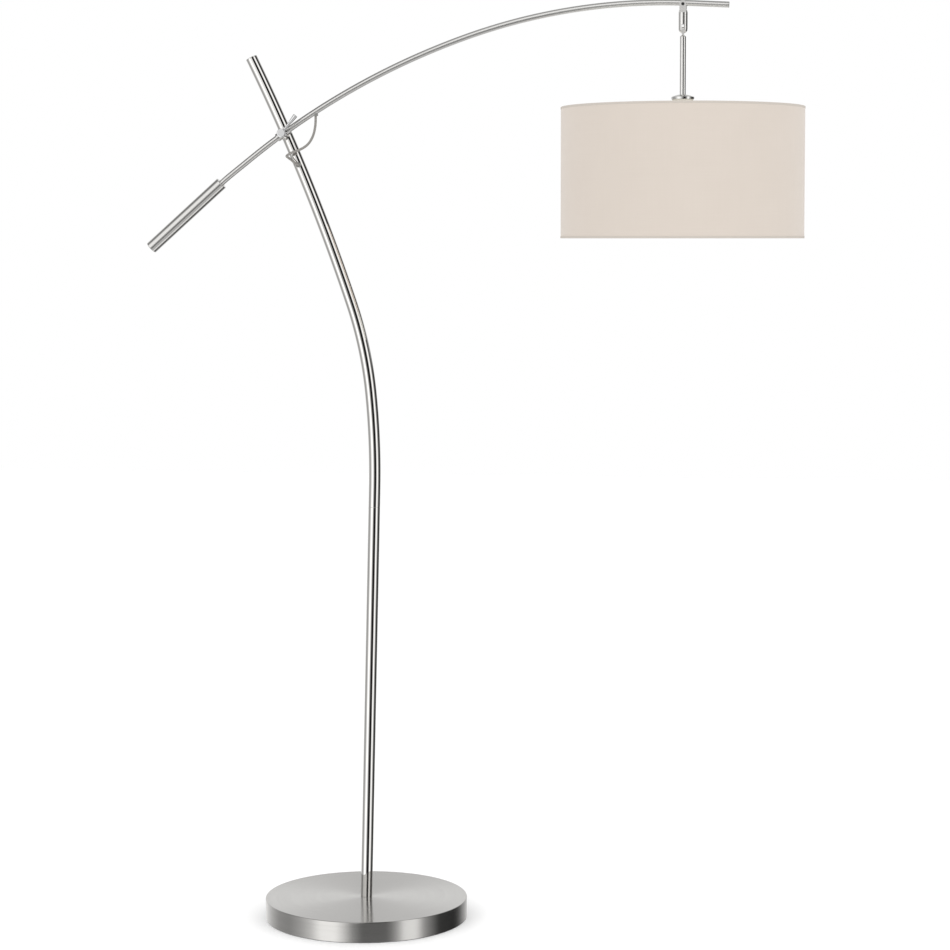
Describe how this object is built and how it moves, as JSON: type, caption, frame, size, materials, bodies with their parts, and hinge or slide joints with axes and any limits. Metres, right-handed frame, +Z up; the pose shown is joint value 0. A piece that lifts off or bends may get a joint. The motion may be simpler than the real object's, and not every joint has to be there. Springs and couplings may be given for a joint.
{
  "type": "adjustable arm floor lamp",
  "caption": "Floor lamp: a weighted round base, a bowed tube pole and a counterweighted curved arm, clamped across it by a lever, that holds a hanging drum shade.",
  "frame": {"origin": "centre of the base's underside, on the floor", "axes": "+Z up, +X from the base towards the shade, -Y towards the front, where the arm passes the pole"},
  "size_m": [1.2241, 0.443, 1.7146],
  "materials": {
    "satin_nickel": "satin",
    "arm_steel": "satin",
    "weight_steel": "brushed",
    "base_cover": "satin",
    "chrome": "polished",
    "hardware_steel": "plain",
    "black_steel": "black oxide",
    "brass": "plain",
    "concrete": "cast",
    "felt": "felt",
    "black_rubber": "matt",
    "grey_plastic": "matt",
    "cord_jacket": "satin",
    "wire_jacket": "satin",
    "washer_plastic": "matt",
    "cream_plastic": "gloss",
    "insulating_board": "plain",
    "black_plastic": "matt",
    "white_wire": "gloss",
    "shade_fabric": "woven",
    "shade_liner": "matt",
    "rim_tape": "woven tape",
    "bulb_cap": "plain",
    "frosted_glass": "frosted"
  },
  "bodies": {
    "stand": {"base_cover": "base_cover", "base_weight": "concrete", "base_pad": "felt", "base_nipple": "brass", "base_washer": "hardware_steel", "base_nut": "hardware_steel", "cord_inlet": "black_rubber", "foot_plug": "hardware_steel", "lower_pole": "satin_nickel", "pole_coupler": "hardware_steel", "upper_pole": "satin_nickel", "pole_cap": "satin_nickel", "pole_grommet": "grey_plastic", "pole_wire": "wire_jacket", "front_saddle": "chrome", "rear_saddle": "chrome", "pivot_bolt": "chrome", "friction_washers": "washer_plastic", "cord_loop": "cord_jacket"},
    "arm": {"arm_clamp": "chrome", "arm_bush": "hardware_steel", "arm_tube": "arm_steel", "arm_cap": "arm_steel", "arm_grommet": "grey_plastic", "arm_wire": "wire_jacket", "counterweight": "weight_steel", "weight_screw": "black_steel"},
    "lever": {"lever_hub": "chrome", "lever_rod": "chrome", "lever_grip": "chrome"},
    "link": {"link_body": "chrome", "hanger_pin": "black_steel", "knuckle_pin": "chrome"},
    "pendant": {"stem": "satin_nickel", "stem_wire": "wire_jacket", "husk": "satin_nickel", "lamp_holder": "cream_plastic", "holder_insulator": "insulating_board", "screw_shell": "brass", "centre_contact": "brass", "shade_nut": "cream_plastic", "spider_ring": "white_wire", "bottom_ring": "white_wire", "shade_liner": "shade_liner", "shade_fabric": "shade_fabric", "rim_tapes": "rim_tape", "bulb_cap": "bulb_cap", "bulb_glass": "frosted_glass"},
    "switch": {"switch_knob": "black_plastic", "switch_shaft": "brass"}
  },
  "joints": [
    {"name": "arm_tilt", "type": "hinge", "parent": "stand", "child": "arm", "pos_m": [-0.14817, -0.025, 1.47669], "axis": [0, -1, 0], "range_deg": [-30, 25], "deforming": ["cord_loop"]},
    {"name": "lever_turn", "type": "hinge", "parent": "stand", "child": "lever", "pos_m": [-0.14817, -0.0412, 1.47669], "axis": [0, -1, 0], "range_deg": [0, 100]},
    {"name": "link_swing", "type": "hinge", "parent": "arm", "child": "link", "pos_m": [0.5924, -0.025, 1.70571], "axis": [0, 1, 0], "range_deg": [-32, 28]},
    {"name": "stem_swing", "type": "hinge", "parent": "link", "child": "pendant", "pos_m": [0.5924, -0.025, 1.66096], "axis": [1, 0, 0], "range_deg": [-20, 20]},
    {"name": "switch_turn", "type": "hinge", "parent": "pendant", "child": "switch", "pos_m": [0.6124, -0.025, 1.51821], "axis": [1, 0, 0], "continuous": true}
  ]
}
